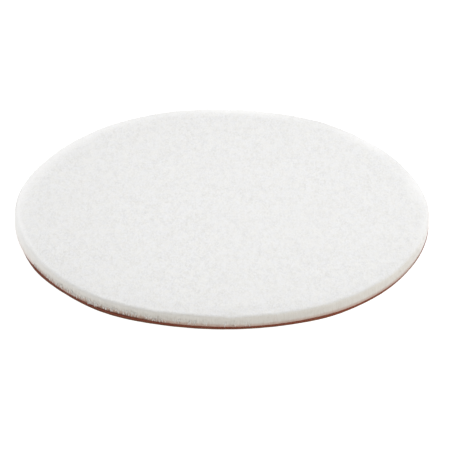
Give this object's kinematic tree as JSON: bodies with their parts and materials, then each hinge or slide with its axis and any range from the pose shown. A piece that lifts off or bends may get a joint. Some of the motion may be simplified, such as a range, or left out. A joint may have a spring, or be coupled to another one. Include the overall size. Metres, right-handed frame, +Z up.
{
  "type": "felt polishing disc",
  "caption": "Flat round felt polishing pad on a stiff fibre backing, with a self-adhesive underside covered by a peel-off paper liner, for the plate of a flat lap.",
  "frame": {"origin": "centre of the underside, the lower face of the release liner", "axes": "+Z up along the disc's own axis, out of the felt working face; the disc is round, so X and Y are any two square directions in its plane"},
  "size_m": [0.2032, 0.2032, 0.0078],
  "materials": {
    "felt": "matte",
    "bond": "satin",
    "backing": "matte",
    "adhesive": "gloss",
    "liner": "satin"
  },
  "bodies": {
    "liner": {"release_liner": "liner"},
    "pad": {"mounting_adhesive": "adhesive", "backing_sheet": "backing", "bond_film": "bond", "felt_pad": "felt"}
  },
  "joints": [
    {"name": "pad_lift", "type": "slide", "parent": "liner", "child": "pad", "axis": [0, 0, 1], "range_m": [0, 0.05]}
  ]
}
